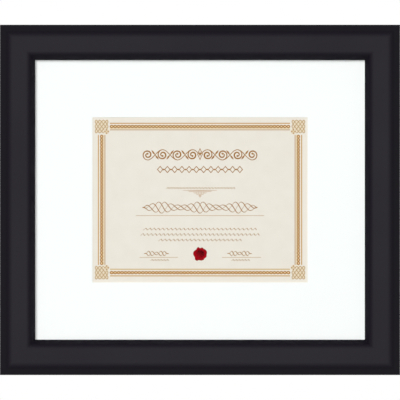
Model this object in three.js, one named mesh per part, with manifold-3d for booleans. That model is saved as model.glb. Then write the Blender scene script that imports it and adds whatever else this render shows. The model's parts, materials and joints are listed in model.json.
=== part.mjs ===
// A wall-hung picture frame: a mitred wooden moulding that holds a matted certificate behind glass.
// Millimetres, +Z up. The front faces -Y, and the wall is the plane y = 0.
// The origin is the point where the wall nail bears in the hanger's middle notch.
import * as THREE from "three";
import { mergeVertices } from "three/addons/utils/BufferGeometryUtils.js";
import Module from "manifold-3d";

const wasm = await Module();
wasm.setup();

// Sheet and mat: the frame is sized from the sheet outward.
const SHEET_WIDTH = 279.4;
const SHEET_HEIGHT = 215.9;
const WINDOW_OVERLAP = 3.175; // how far the mat covers the sheet on each side
const MAT_BORDER = 72.575; // mat that shows between the window and the moulding
const MAT_BEVEL_ANGLE = THREE.MathUtils.degToRad(45); // of the window's cut, undercut behind

// Moulding section: runs are measured across the rail, seen from the front.
const RAIL_WIDTH = 44.9;
const RABBET_LAP = 7.45; // how far the lip covers the pane
const LIP_THICKNESS = 5.1; // wood in front of the pane at the sight edge
const OUTER_BEVEL_RUN = 11.3;
const INNER_BEVEL_RUN = 7.6;
const BEVEL_ANGLE = THREE.MathUtils.degToRad(45);
const OUTER_SHOULDER_RADIUS = 14; // where the bevels roll into the flat crown
const INNER_SHOULDER_RADIUS = 11;
const ARRIS_RADIUS = 1.6; // between the outer side and its bevel
const SIGHT_EDGE_RADIUS = 0.9;

// Layers in the rabbet, from the front.
const GLASS_THICKNESS = 2;
const MAT_THICKNESS = 1.5;
const SHEET_THICKNESS = 0.25;
const TAPE_THICKNESS = 0.15;
const MOUNT_BOARD_THICKNESS = 1.5;
const FILLER_THICKNESS = 3.5;
const BACK_PANEL_THICKNESS = 3;

// Hinge tapes: a tab behind the sheet's top edge and a strip across it.
const TAPE_FROM_SIDE = 50; // from the sheet's side to the tape's middle
const TAPE_TAB_WIDTH = 16;
const TAPE_TAB_LAP = 12; // how far the tab reaches down behind the sheet
const TAPE_TAB_RISE = 16; // how far the tab reaches above the sheet
const TAPE_STRIP_LENGTH = 44;
const TAPE_STRIP_HEIGHT = 12;

// Wax seal on the lower middle of the sheet.
const SEAL_RADIUS = 7.65; // of the disc that the lobes stand out of
const SEAL_FROM_BOTTOM = 38.9; // from the sheet's lower edge to the seal's middle
const SEAL_EDGE_ROUND = 0.5;
const SEAL_RIM_WIDTH = 2.2;
const SEAL_RECESS = 0.5; // how far the stamped middle lies below the rim
const SEAL_HEADROOM = 0.5; // air between the seal and the glass
// Lobes of squeezed-out wax: where they lie, how far they stand out and how round they are.
const SEAL_LOBES = [
  { degrees: 27, out: 1.7, radius: 5 },
  { degrees: 69, out: 1.4, radius: 2.4 },
  { degrees: 108, out: 1.7, radius: 2.2 },
  { degrees: 167, out: 1.15, radius: 5 },
  { degrees: 235, out: 1.7, radius: 2.8 },
  { degrees: 297, out: 0.75, radius: 4.6 },
  { degrees: 341, out: 1.1, radius: 3 },
];

// Turn buttons, flat steel tabs that each turn on a screw.
const BUTTON_LENGTH = 28;
const BUTTON_WIDTH = 10;
const BUTTON_THICKNESS = 1.2;
const BUTTON_SETBACK = 9; // from the rabbet's wall out to the screw
const BUTTON_FROM_CORNER = 95; // from the rabbet's corner along the rail to the screw

// Button screws: round-headed, with a cross recess.
const SCREW_SHANK_RADIUS = 1.5;
const SCREW_DEPTH = 11; // in the wood
const SCREW_POINT = 3;
const SCREW_HEAD_RADIUS = 3.2;
const SCREW_HEAD_HEIGHT = 1.8;
const SCREW_HEAD_BRIM = 0.5; // straight edge below the dome
const RECESS_LENGTH = 3.4;
const RECESS_WIDTH = 0.8;
const RECESS_DEPTH = 1;

// Sawtooth hanger: a bridge of sheet steel with notches along its lower edge.
const HANGER_FROM_EDGE = 22; // from the frame's top edge down to the notches
const HANGER_LENGTH = 46;
const HANGER_HEIGHT = 12;
const HANGER_THICKNESS = 1;
const HANGER_RISE = 3; // room behind the bridge for the wall nail's head
const HANGER_TAB = 8.5; // flat end that lies on the wood
const HANGER_RAMP = 2.5;
const NOTCH_PITCH = 4;
const NOTCH_WIDTH = 3.2;
const NOTCH_DEPTH = 2.5;
const TACK_SHANK_RADIUS = 0.9;
const TACK_DEPTH = 10; // in the wood
const TACK_POINT = 2;
const TACK_HEAD_RADIUS = 2.2;
const TACK_HEAD_HEIGHT = 1;
const TACK_HEAD_BRIM = 0.3;

// V-nails: chevrons of steel strip across each mitre, flush with the back.
const V_NAIL_ARM = 6;
const V_NAIL_THICKNESS = 0.8;
const V_NAIL_HALF_ANGLE = THREE.MathUtils.degToRad(58);
const V_NAIL_DEPTH = 9;
const V_NAIL_FROM_CORNER = 16; // along the mitre, from the frame's outer corner
const V_NAIL_FROM_RABBET = 15; // along the mitre, from the rabbet's corner

// Wall bumpers on the lower rail.
const BUMPER_RADIUS = 6.35;
const BUMPER_CHAMFER = 0.7;
const BUMPER_FROM_SIDE = 48;
const BUMPER_FROM_BOTTOM = 15;

// Clearances.
const MITRE_GAP = 0.1; // glue line, measured along each rail
const PANE_CLEARANCE = 0.65; // round every layer in the rabbet
const LAYER_GAP = 0.1; // between neighbouring layers
const PANEL_RECESS = 0.1; // back panel below the moulding's back
const TURN_GAP = 0.3; // over, under and inside a turn button
const DRIVEN_GAP = 0.2; // round screws, tacks and V-nails in the wood
const SEAT_GAP = 0.05; // under the seal and the tacks' heads

// Mesh fineness.
const ARC_STEPS = 8;
const ROUND_STEPS = 20;
const SEAL_STEPS = 96;
const CUT_MARGIN = 1; // how far a cutter sticks out of what it cuts
const WELD = 1e-4; // vertices nearer than this are one

// Sizes that follow from the ones above.
const WINDOW_WIDTH = SHEET_WIDTH - 2 * WINDOW_OVERLAP;
const WINDOW_HEIGHT = SHEET_HEIGHT - 2 * WINDOW_OVERLAP;
const FRAME_WIDTH = WINDOW_WIDTH + 2 * (MAT_BORDER + RAIL_WIDTH);
const FRAME_HEIGHT = WINDOW_HEIGHT + 2 * (MAT_BORDER + RAIL_WIDTH);
const RABBET_WALL = RAIL_WIDTH - RABBET_LAP; // from the outer edge
const PANE_WIDTH = FRAME_WIDTH - 2 * (RABBET_WALL + PANE_CLEARANCE);
const PANE_HEIGHT = FRAME_HEIGHT - 2 * (RABBET_WALL + PANE_CLEARANCE);
const LAYERS = [
  GLASS_THICKNESS,
  MAT_THICKNESS,
  SHEET_THICKNESS,
  TAPE_THICKNESS,
  MOUNT_BOARD_THICKNESS,
  FILLER_THICKNESS,
  BACK_PANEL_THICKNESS,
];
const RABBET_DEPTH = LAYERS.reduce((sum, thickness) => sum + LAYER_GAP + thickness, PANEL_RECESS);
const SIGHT_EDGE = RABBET_DEPTH + LIP_THICKNESS; // height above the back
const CROWN = SIGHT_EDGE + INNER_BEVEL_RUN * Math.tan(BEVEL_ANGLE);
const OUTER_SIDE = CROWN - OUTER_BEVEL_RUN * Math.tan(BEVEL_ANGLE);
const WALL_GAP = HANGER_RISE + HANGER_THICKNESS;
const FRAME_CENTRE_Z = HANGER_FROM_EDGE - FRAME_HEIGHT / 2;
const BUTTON_TOP = TURN_GAP + BUTTON_THICKNESS + TURN_GAP; // where the screw's head begins

const BLACK_LACQUER = finish(0x2e2e30, 0.5);
const CLEAR_GLASS = finish(0xf4f8f7, 0.05);
const WHITE_MAT = finish(0xfcfdfc, 0.9);
const CREAM_PAPER = finish(0xece8dc, 0.85);
const RED_WAX = finish(0x8c1a1d, 0.4);
const LINEN_TAPE = finish(0xe9e6da, 0.9);
const GREY_BOARD = finish(0xd9d6cc, 0.9);
const BROWN_BOARD = finish(0xb08d62, 0.9);
const HARDBOARD = finish(0x6b4a30, 0.8);
const ZINC = finish(0xb9bcc0, 0.35, 0.9);
const BRIGHT_STEEL = finish(0x9b9da0, 0.3, 1);
const GREY_RUBBER = finish(0x4a4a4a, 0.9);

function finish(color, roughness, metalness = 0) {
  return new THREE.MeshStandardMaterial({ color, roughness, metalness });
}

function piece(name, geometry, material, x = 0, y = 0, z = 0) {
  const mesh = new THREE.Mesh(geometry, material);
  mesh.name = name;
  mesh.position.set(x, y, z);
  return mesh;
}

// A closed geometry as a solid that can be cut.
function solidOf(geometry) {
  const bare = new THREE.BufferGeometry();
  bare.setAttribute("position", geometry.getAttribute("position"));
  bare.setIndex(geometry.index);
  const merged = mergeVertices(bare, WELD);
  return new wasm.Manifold(
    new wasm.Mesh({
      numProp: 3,
      vertProperties: new Float32Array(merged.getAttribute("position").array),
      triVerts: new Uint32Array(merged.index.array),
    }),
  );
}

function geometryOf(solid) {
  const mesh = solid.getMesh();
  const geometry = new THREE.BufferGeometry();
  geometry.setAttribute("position", new THREE.BufferAttribute(mesh.vertProperties, mesh.numProp));
  geometry.setIndex(new THREE.BufferAttribute(mesh.triVerts, 1));
  geometry.computeVertexNormals();
  return geometry;
}

function cut(geometry, cutters) {
  return geometryOf(cutters.reduce((left, cutter) => left.subtract(solidOf(cutter)), solidOf(geometry)));
}

// An outline with straight sides, from [x, y, radius] corners. A corner with a radius is rounded,
// and the first two corners are sharp.
function filletedShape(corners) {
  const shape = new THREE.Shape();
  shape.moveTo(corners[0][0], corners[0][1]);
  corners.slice(1).forEach(([x, y, radius], i) => {
    if (radius === 0) {
      shape.lineTo(x, y);
      return;
    }
    const corner = new THREE.Vector2(x, y);
    const [beforeX, beforeY] = corners[i];
    const [afterX, afterY] = corners[(i + 2) % corners.length];
    const before = new THREE.Vector2(beforeX, beforeY).sub(corner).normalize();
    const after = new THREE.Vector2(afterX, afterY).sub(corner).normalize();
    const half = Math.acos(before.dot(after)) / 2;
    const reach = radius / Math.tan(half);
    const middle = before.clone().add(after).normalize();
    const centre = middle.multiplyScalar(radius / Math.sin(half)).add(corner);
    const from = before.clone().multiplyScalar(reach).add(corner).sub(centre);
    const to = after.clone().multiplyScalar(reach).add(corner).sub(centre);
    shape.absarc(centre.x, centre.y, radius, from.angle(), to.angle(), from.cross(to) < 0);
  });
  return shape;
}

// A flat plate: its outline lies in X and Z, and it reaches from y = 0 towards the front.
function plate(shape, thickness) {
  const geometry = new THREE.ExtrudeGeometry(shape, {
    depth: thickness,
    bevelEnabled: false,
    curveSegments: ARC_STEPS * 2,
  });
  return geometry.rotateX(Math.PI / 2);
}

// A cutter for a round hole from the face y = 0 towards the front.
function roundHole(radius, depth, x, z) {
  const hole = new THREE.CylinderGeometry(radius, radius, depth + CUT_MARGIN, ROUND_STEPS);
  return hole.translate(x, (CUT_MARGIN - depth) / 2, z);
}

// Moulding: u runs in from the outer edge and h forward from the back.
function mouldingSection() {
  return filletedShape([
    [RABBET_WALL, 0, 0],
    [0, 0, 0],
    [0, OUTER_SIDE, ARRIS_RADIUS],
    [OUTER_BEVEL_RUN, CROWN, OUTER_SHOULDER_RADIUS],
    [RAIL_WIDTH - INNER_BEVEL_RUN, CROWN, INNER_SHOULDER_RADIUS],
    [RAIL_WIDTH, SIGHT_EDGE, SIGHT_EDGE_RADIUS],
    [RAIL_WIDTH, RABBET_DEPTH, 0],
    [RABBET_WALL, RABBET_DEPTH, 0],
  ]);
}

// A rail lies along X with its outer edge on z = 0, its back on y = 0 and its inner side up.
function railGeometry(length, holes) {
  const bar = new THREE.ExtrudeGeometry(mouldingSection(), {
    depth: length,
    bevelEnabled: false,
    curveSegments: ARC_STEPS,
  });
  const across = new THREE.Vector3(0, 0, 1);
  const forward = new THREE.Vector3(0, -1, 0);
  const along = new THREE.Vector3(1, 0, 0);
  bar.applyMatrix4(new THREE.Matrix4().makeBasis(across, forward, along));
  bar.translate(-length / 2, 0, 0);
  const points = bar.getAttribute("position");
  for (let i = 0; i < points.count; i += 1) {
    const mitred = length / 2 - MITRE_GAP - points.getZ(i);
    points.setX(i, Math.sign(points.getX(i)) * mitred);
  }
  return cut(bar, [...holes, ...vNailSlots(length)]);
}

// V-nails: z runs in along the mitre and x across it.
function vNailShape(thickness, arm) {
  const sine = Math.sin(V_NAIL_HALF_ANGLE);
  const cosine = Math.cos(V_NAIL_HALF_ANGLE);
  const apex = thickness / (2 * sine);
  const outer = [arm * sine + (thickness / 2) * cosine, (thickness / 2) * sine - arm * cosine];
  const inner = [arm * sine - (thickness / 2) * cosine, -(thickness / 2) * sine - arm * cosine];
  return filletedShape([
    [0, apex, 0],
    [-outer[0], outer[1], 0],
    [-inner[0], inner[1], 0],
    [0, -apex, 0],
    [inner[0], inner[1], 0],
    [outer[0], outer[1], 0],
  ]);
}

function vNailPlaces() {
  return [
    ["outer", V_NAIL_FROM_CORNER],
    ["inner", RABBET_WALL * Math.SQRT2 - V_NAIL_FROM_RABBET],
  ];
}

function vNailSlots(length) {
  const shape = vNailShape(V_NAIL_THICKNESS + 2 * DRIVEN_GAP, V_NAIL_ARM + DRIVEN_GAP);
  const slots = [];
  for (const end of [-1, 1]) {
    for (const [, distance] of vNailPlaces()) {
      const slot = plate(shape, V_NAIL_DEPTH + DRIVEN_GAP + CUT_MARGIN);
      slot.translate(0, CUT_MARGIN, distance);
      slot.rotateY((-end * Math.PI) / 4);
      slots.push(slot.translate((end * length) / 2, 0, 0));
    }
  }
  return slots;
}

// A screw or tack along Y: its head stands on y = 0 with the shank reaching forward.
function driven(shankRadius, shankLength, point, head) {
  const outline = [[0, -shankLength], [shankRadius, point - shankLength], [shankRadius, 0], ...head];
  const points = outline.map(([radius, y]) => new THREE.Vector2(radius, y));
  return new THREE.LatheGeometry(points, ROUND_STEPS);
}

// A domed head on a straight brim, ending on the axis.
function domedHead(radius, height, brim) {
  const outline = [[radius, 0]];
  const dome = height - brim;
  for (let i = 0; i < ARC_STEPS; i += 1) {
    const angle = (i / ARC_STEPS) * (Math.PI / 2);
    outline.push([radius * Math.cos(angle), brim + dome * Math.sin(angle)]);
  }
  outline.push([0, height]);
  return outline;
}

function screwGeometry() {
  const head = domedHead(SCREW_HEAD_RADIUS, SCREW_HEAD_HEIGHT, SCREW_HEAD_BRIM);
  const blank = driven(SCREW_SHANK_RADIUS, SCREW_DEPTH + BUTTON_TOP, SCREW_POINT, head);
  const depth = RECESS_DEPTH + CUT_MARGIN;
  const slots = [
    new THREE.BoxGeometry(RECESS_LENGTH, depth, RECESS_WIDTH),
    new THREE.BoxGeometry(RECESS_WIDTH, depth, RECESS_LENGTH),
  ];
  const middle = SCREW_HEAD_HEIGHT - RECESS_DEPTH + depth / 2;
  return cut(blank, slots.map((slot) => slot.translate(0, middle, 0)));
}

// A turn button's nose points up, and its hole is on the origin.
function buttonGeometry() {
  const round = BUTTON_WIDTH / 2;
  const outline = new THREE.Shape();
  outline.absarc(0, 0, round, Math.PI, 2 * Math.PI);
  outline.absarc(0, BUTTON_LENGTH - BUTTON_WIDTH, round, 0, Math.PI);
  const hole = new THREE.Path();
  hole.absarc(0, 0, SCREW_SHANK_RADIUS + TURN_GAP, 0, 2 * Math.PI, true);
  outline.holes.push(hole);
  return plate(outline, BUTTON_THICKNESS).translate(0, BUTTON_THICKNESS, 0);
}

// The hanger's bridge runs along X with the notches on its +Z edge, and their roots are on z = 0.
// The ramps' rear corners stand half a thickness in, so that the bent strip stays about as thick.
function hangerGeometry() {
  const end = HANGER_LENGTH / 2;
  const foot = end - HANGER_TAB;
  const bridge = foot - HANGER_RAMP;
  const outline = filletedShape([
    [-end, 0, 0],
    [-foot, 0, 0],
    [-bridge, HANGER_RISE, 0],
    [bridge, HANGER_RISE, 0],
    [foot, 0, 0],
    [end, 0, 0],
    [end, HANGER_THICKNESS, 0],
    [foot - HANGER_THICKNESS / 2, HANGER_THICKNESS, 0],
    [bridge - HANGER_THICKNESS / 2, HANGER_RISE + HANGER_THICKNESS, 0],
    [HANGER_THICKNESS / 2 - bridge, HANGER_RISE + HANGER_THICKNESS, 0],
    [HANGER_THICKNESS / 2 - foot, HANGER_THICKNESS, 0],
    [-end, HANGER_THICKNESS, 0],
  ]);
  const strip = new THREE.ExtrudeGeometry(outline, { depth: HANGER_HEIGHT, bevelEnabled: false });
  strip.translate(0, 0, NOTCH_DEPTH - HANGER_HEIGHT);
  const cutters = tackPlaces().map(([, x, z]) => {
    const hole = roundHole(TACK_SHANK_RADIUS + DRIVEN_GAP, HANGER_THICKNESS + CUT_MARGIN, x, z);
    return hole.translate(0, HANGER_THICKNESS, 0);
  });
  const beside = Math.floor((bridge - NOTCH_WIDTH / 2) / NOTCH_PITCH);
  for (let i = -beside; i <= beside; i += 1) {
    cutters.push(notchCutter(i * NOTCH_PITCH));
  }
  return cut(strip, cutters);
}

// A V-shaped groove right through the bridge, open at the hanger's notched edge.
function notchCutter(x) {
  const widen = (NOTCH_WIDTH / 2) * ((NOTCH_DEPTH + CUT_MARGIN) / NOTCH_DEPTH);
  const shape = filletedShape([
    [x, 0, 0],
    [x + widen, NOTCH_DEPTH + CUT_MARGIN, 0],
    [x - widen, NOTCH_DEPTH + CUT_MARGIN, 0],
  ]);
  const groove = plate(shape, WALL_GAP + 2 * CUT_MARGIN);
  return groove.translate(0, WALL_GAP + CUT_MARGIN, 0);
}

function tackPlaces() {
  const x = HANGER_LENGTH / 2 - HANGER_TAB / 2;
  const z = NOTCH_DEPTH - HANGER_HEIGHT / 2;
  return [
    ["left", x, z],
    ["right", -x, z],
  ];
}

// How far the seal reaches from its middle in one direction: to the disc's edge or to a lobe's.
function sealReach(angle) {
  const reaches = SEAL_LOBES.map(({ degrees, out, radius }) => {
    const turn = angle - THREE.MathUtils.degToRad(degrees);
    const middle = SEAL_RADIUS + out - radius;
    const aside = middle * Math.sin(turn);
    return middle * Math.cos(turn) + Math.sqrt(Math.max(0, radius ** 2 - aside ** 2));
  });
  return Math.max(SEAL_RADIUS, ...reaches);
}

// The seal's back lies on y = 0, and its rim stands out to the front.
function sealGeometry(height) {
  const rimInside = SEAL_RADIUS - SEAL_RIM_WIDTH;
  const outline = [
    [0, SEAL_RECESS - height],
    [rimInside, SEAL_RECESS - height],
    [rimInside + SEAL_RECESS, -height],
    [SEAL_RADIUS - SEAL_EDGE_ROUND, -height],
    [SEAL_RADIUS, SEAL_EDGE_ROUND - height],
    [SEAL_RADIUS, 0],
    [0, 0],
  ];
  const points = outline.map(([radius, y]) => new THREE.Vector2(radius, y));
  const seal = new THREE.LatheGeometry(points, SEAL_STEPS);
  const at = seal.getAttribute("position");
  for (let i = 0; i < at.count; i += 1) {
    const angle = Math.atan2(at.getZ(i), at.getX(i));
    const share = Math.hypot(at.getX(i), at.getZ(i)) / SEAL_RADIUS;
    const stretch = 1 + (sealReach(angle) / SEAL_RADIUS - 1) * share;
    at.setX(i, at.getX(i) * stretch);
    at.setZ(i, at.getZ(i) * stretch);
  }
  return seal;
}

// The mat's window is cut with a reverse bevel: it is widest behind, so that the cut doesn't show.
function matGeometry() {
  const slope = Math.tan(MAT_BEVEL_ANGLE);
  const opening = new THREE.BoxGeometry(WINDOW_WIDTH, MAT_THICKNESS + 2 * CUT_MARGIN, WINDOW_HEIGHT);
  const at = opening.getAttribute("position");
  for (let i = 0; i < at.count; i += 1) {
    const spread = (MAT_THICKNESS / 2 + at.getY(i)) * slope;
    at.setX(i, at.getX(i) + Math.sign(at.getX(i)) * spread);
    at.setZ(i, at.getZ(i) + Math.sign(at.getZ(i)) * spread);
  }
  return cut(new THREE.BoxGeometry(PANE_WIDTH, MAT_THICKNESS, PANE_HEIGHT), [opening]);
}

// A T of tape: z = 0 is the sheet's top edge.
function tapeGeometry() {
  const tab = TAPE_TAB_WIDTH / 2;
  const strip = TAPE_STRIP_LENGTH / 2;
  const shape = filletedShape([
    [-tab, -TAPE_TAB_LAP, 0],
    [tab, -TAPE_TAB_LAP, 0],
    [tab, TAPE_TAB_RISE - TAPE_STRIP_HEIGHT, 0],
    [strip, TAPE_TAB_RISE - TAPE_STRIP_HEIGHT, 0],
    [strip, TAPE_TAB_RISE, 0],
    [-strip, TAPE_TAB_RISE, 0],
    [-strip, TAPE_TAB_RISE - TAPE_STRIP_HEIGHT, 0],
    [-tab, TAPE_TAB_RISE - TAPE_STRIP_HEIGHT, 0],
  ]);
  return plate(shape, TAPE_THICKNESS).translate(0, TAPE_THICKNESS / 2, 0);
}

// Everything that lies in the rabbet, stacked from the lip to the back.
function addLayers(frame) {
  const middles = [];
  let face = -RABBET_DEPTH;
  for (const thickness of LAYERS) {
    face += LAYER_GAP + thickness;
    middles.push(face - thickness / 2);
  }
  const [glass, mat, sheet, tape, mount, filler, back] = middles;
  const board = (thickness) => new THREE.BoxGeometry(PANE_WIDTH, thickness, PANE_HEIGHT);
  const paper = new THREE.BoxGeometry(SHEET_WIDTH, SHEET_THICKNESS, SHEET_HEIGHT);
  frame.add(piece("glazing", board(GLASS_THICKNESS), CLEAR_GLASS, 0, glass, 0));
  frame.add(piece("mat_board", matGeometry(), WHITE_MAT, 0, mat, 0));
  frame.add(piece("certificate", paper, CREAM_PAPER, 0, sheet, 0));
  frame.add(piece("mount_board", board(MOUNT_BOARD_THICKNESS), GREY_BOARD, 0, mount, 0));
  frame.add(piece("filler_board", board(FILLER_THICKNESS), BROWN_BOARD, 0, filler, 0));
  frame.add(piece("back_panel", board(BACK_PANEL_THICKNESS), HARDBOARD, 0, back, 0));
  const tapeX = SHEET_WIDTH / 2 - TAPE_FROM_SIDE;
  frame.add(piece("hinge_tape_left", tapeGeometry(), LINEN_TAPE, -tapeX, tape, SHEET_HEIGHT / 2));
  frame.add(piece("hinge_tape_right", tapeGeometry(), LINEN_TAPE, tapeX, tape, SHEET_HEIGHT / 2));
  const sealHeight = MAT_THICKNESS + 2 * LAYER_GAP - SEAT_GAP - SEAL_HEADROOM;
  const sealBack = sheet - SHEET_THICKNESS / 2 - SEAT_GAP;
  const sealZ = SEAL_FROM_BOTTOM - SHEET_HEIGHT / 2;
  frame.add(piece("wax_seal", sealGeometry(sealHeight), RED_WAX, 0, sealBack, sealZ));
}

// The four sides: each group has the rail's outer edge on z = 0 and the frame's middle towards +Z.
const SIDES = [
  { name: "bottom", turn: 0, length: FRAME_WIDTH, x: 0, z: -FRAME_HEIGHT / 2, ends: ["left", "right"] },
  { name: "right", turn: -1, length: FRAME_HEIGHT, x: FRAME_WIDTH / 2, z: 0, ends: ["lower", "upper"] },
  { name: "top", turn: 2, length: FRAME_WIDTH, x: 0, z: FRAME_HEIGHT / 2, ends: ["right", "left"] },
  { name: "left", turn: 1, length: FRAME_HEIGHT, x: -FRAME_WIDTH / 2, z: 0, ends: ["upper", "lower"] },
];

function addSide(frame, { name, turn, length, x, z, ends }) {
  const side = new THREE.Group();
  side.position.set(x, 0, z);
  side.rotation.y = (turn * Math.PI) / 2;
  frame.add(side);
  const buttonX = length / 2 - RABBET_WALL - BUTTON_FROM_CORNER;
  const buttonZ = RABBET_WALL - BUTTON_SETBACK;
  const holes = [];
  ends.forEach((end, i) => {
    const at = i === 0 ? -buttonX : buttonX;
    const button = piece(`turn_button_${name}_${end}`, buttonGeometry(), ZINC, at, TURN_GAP, buttonZ);
    const screw = piece(`button_screw_${name}_${end}`, screwGeometry(), ZINC, at, BUTTON_TOP, buttonZ);
    side.add(button, screw);
    holes.push(roundHole(SCREW_SHANK_RADIUS + DRIVEN_GAP, SCREW_DEPTH + DRIVEN_GAP, at, buttonZ));
  });
  if (name === "top") holes.push(...addHanger(side));
  if (name === "bottom") addBumpers(side, length);
  side.add(piece(`${name}_rail`, railGeometry(length, holes), BLACK_LACQUER));
}

// The hanger and its tacks; returns the tacks' holes in the rail.
function addHanger(side) {
  const top = HANGER_THICKNESS + SEAT_GAP;
  side.add(piece("hanger", hangerGeometry(), ZINC, 0, 0, HANGER_FROM_EDGE));
  return tackPlaces().map(([name, x, z]) => {
    const head = domedHead(TACK_HEAD_RADIUS, TACK_HEAD_HEIGHT, TACK_HEAD_BRIM);
    const tack = driven(TACK_SHANK_RADIUS, TACK_DEPTH + top, TACK_POINT, head);
    side.add(piece(`hanger_nail_${name}`, tack, BRIGHT_STEEL, x, top, HANGER_FROM_EDGE + z));
    const hole = [TACK_SHANK_RADIUS + DRIVEN_GAP, TACK_DEPTH + DRIVEN_GAP];
    return roundHole(...hole, x, HANGER_FROM_EDGE + z);
  });
}

// Bumpers bring the frame's lower edge as far off the wall as the hanger holds its top.
function addBumpers(side, length) {
  const outline = [
    [0, 0],
    [BUMPER_RADIUS, 0],
    [BUMPER_RADIUS, WALL_GAP - BUMPER_CHAMFER],
    [BUMPER_RADIUS - BUMPER_CHAMFER, WALL_GAP],
    [0, WALL_GAP],
  ];
  const points = outline.map(([radius, y]) => new THREE.Vector2(radius, y));
  const x = length / 2 - BUMPER_FROM_SIDE;
  for (const [name, at] of [["bumper_left", -x], ["bumper_right", x]]) {
    const pad = new THREE.LatheGeometry(points, ROUND_STEPS);
    side.add(piece(name, pad, GREY_RUBBER, at, 0, BUMPER_FROM_BOTTOM));
  }
}

// The four corners: each group has z running in along the mitre from the frame's outer corner.
const CORNERS = [
  { name: "bottom_left", turn: 1, right: -1, up: -1 },
  { name: "bottom_right", turn: -1, right: 1, up: -1 },
  { name: "top_right", turn: -3, right: 1, up: 1 },
  { name: "top_left", turn: 3, right: -1, up: 1 },
];

function addCorner(frame, { name, turn, right, up }) {
  const corner = new THREE.Group();
  corner.position.set((right * FRAME_WIDTH) / 2, 0, (up * FRAME_HEIGHT) / 2);
  corner.rotation.y = (turn * Math.PI) / 4;
  frame.add(corner);
  for (const [place, distance] of vNailPlaces()) {
    const nail = plate(vNailShape(V_NAIL_THICKNESS, V_NAIL_ARM), V_NAIL_DEPTH);
    corner.add(piece(`v_nail_${name}_${place}`, nail, BRIGHT_STEEL, 0, 0, distance));
  }
}

// The frame's group stands on the moulding's back at the frame's centre.
function pictureFrame() {
  const frame = new THREE.Group();
  frame.position.set(0, -WALL_GAP, FRAME_CENTRE_Z);
  SIDES.forEach((side) => addSide(frame, side));
  CORNERS.forEach((corner) => addCorner(frame, corner));
  addLayers(frame);
  const part = new THREE.Group();
  part.name = "picture_frame";
  part.add(frame);
  return part;
}

export default pictureFrame();
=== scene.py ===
"""Looks of the picture frame: a black lacquered moulding round a glazed and matted certificate, with the
hardware that closes and hangs it on the back. Lengths are in metres, and in millimetres on the print."""

import json
import math

import bmesh
import bpy
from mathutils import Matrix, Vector, noise


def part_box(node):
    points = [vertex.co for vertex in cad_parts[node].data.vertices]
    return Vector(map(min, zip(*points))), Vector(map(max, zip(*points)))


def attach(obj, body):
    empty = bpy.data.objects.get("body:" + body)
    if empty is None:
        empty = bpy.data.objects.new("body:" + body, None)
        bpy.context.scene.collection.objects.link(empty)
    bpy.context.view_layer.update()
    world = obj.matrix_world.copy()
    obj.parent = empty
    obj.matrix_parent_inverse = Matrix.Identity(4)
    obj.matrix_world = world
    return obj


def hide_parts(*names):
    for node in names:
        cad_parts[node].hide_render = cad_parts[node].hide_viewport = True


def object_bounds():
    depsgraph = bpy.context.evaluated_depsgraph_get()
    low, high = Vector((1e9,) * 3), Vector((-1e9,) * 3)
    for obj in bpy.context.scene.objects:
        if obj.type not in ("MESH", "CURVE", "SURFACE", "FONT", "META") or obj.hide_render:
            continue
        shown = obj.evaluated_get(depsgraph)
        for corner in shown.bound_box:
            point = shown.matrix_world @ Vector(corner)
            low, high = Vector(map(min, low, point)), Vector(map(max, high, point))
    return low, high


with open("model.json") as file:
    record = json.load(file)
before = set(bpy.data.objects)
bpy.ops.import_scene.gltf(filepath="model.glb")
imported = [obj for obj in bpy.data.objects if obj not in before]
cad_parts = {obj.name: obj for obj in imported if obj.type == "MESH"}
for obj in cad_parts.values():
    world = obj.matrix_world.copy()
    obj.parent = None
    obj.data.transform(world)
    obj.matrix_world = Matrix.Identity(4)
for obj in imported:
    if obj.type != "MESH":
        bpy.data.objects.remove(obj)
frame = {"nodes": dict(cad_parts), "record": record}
cad_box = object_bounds()

MM = 0.001
BODIES = frame["record"]["behaviour"]["bodies"]
BODY_OF = {node: body for body, nodes in BODIES.items() for node in nodes}

# Meshes.
WELD = 1e-6
FLAT = math.radians(0.5)  # faces that turn less than this are one face
SHARP = math.radians(32)  # edges that turn more than this stay crisp
BACKWARD = Vector((0, 1, 0))
FACING = 0.9  # least cosine between a direction and a face that looks in it
SQUARE_ON = 0.99  # the same for a face that looks straight in it
MITRE_SLACK = 0.1  # how far a mitre's normal may lie off the diagonal

# Moulding: the axis that each rail lies along, and the way from it to the sight opening.
RAILS = {
    "top_rail": ("x", Vector((0, 0, -1))),
    "bottom_rail": ("x", Vector((0, 0, 1))),
    "left_rail": ("z", Vector((1, 0, 0))),
    "right_rail": ("z", Vector((-1, 0, 0))),
}

# How far the edges on the back are rounded.
ROUND_STEPS = 2
ROUND_PROFILE = 0.5  # a circle's
RAIL_ROUND = 0.5 * MM
PANEL_ROUND = 0.4 * MM
PLATE_ROUND = 0.22 * MM
SCREW_ROUND = 0.1 * MM
NAIL_ROUND = 0.08 * MM
BUMPER_ROUND = 0.3 * MM

# Finishes.
NOISE_RANGE = (0.3, 0.7)  # where most values of a noise texture lie
OVERSPRAY = (0.3 * MM, 3.4 * MM)  # from the outer edge, where lacquer covers the back and where it ends
OVERSPRAY_RAGGED = 0.7 * MM
LINEN_THREADS = 2600.0  # radians of the weave's wave to a metre
GLASS_TINT = (0.995, 1.0, 0.998, 1)
GLASS_MIRROR = 0.9  # share that the glass mirrors at the flattest look
GLASS_MIRROR_POWER = 5.0  # higher keeps the mirror to flatter looks
GLASS_ROUGHNESS = 0.02

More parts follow.
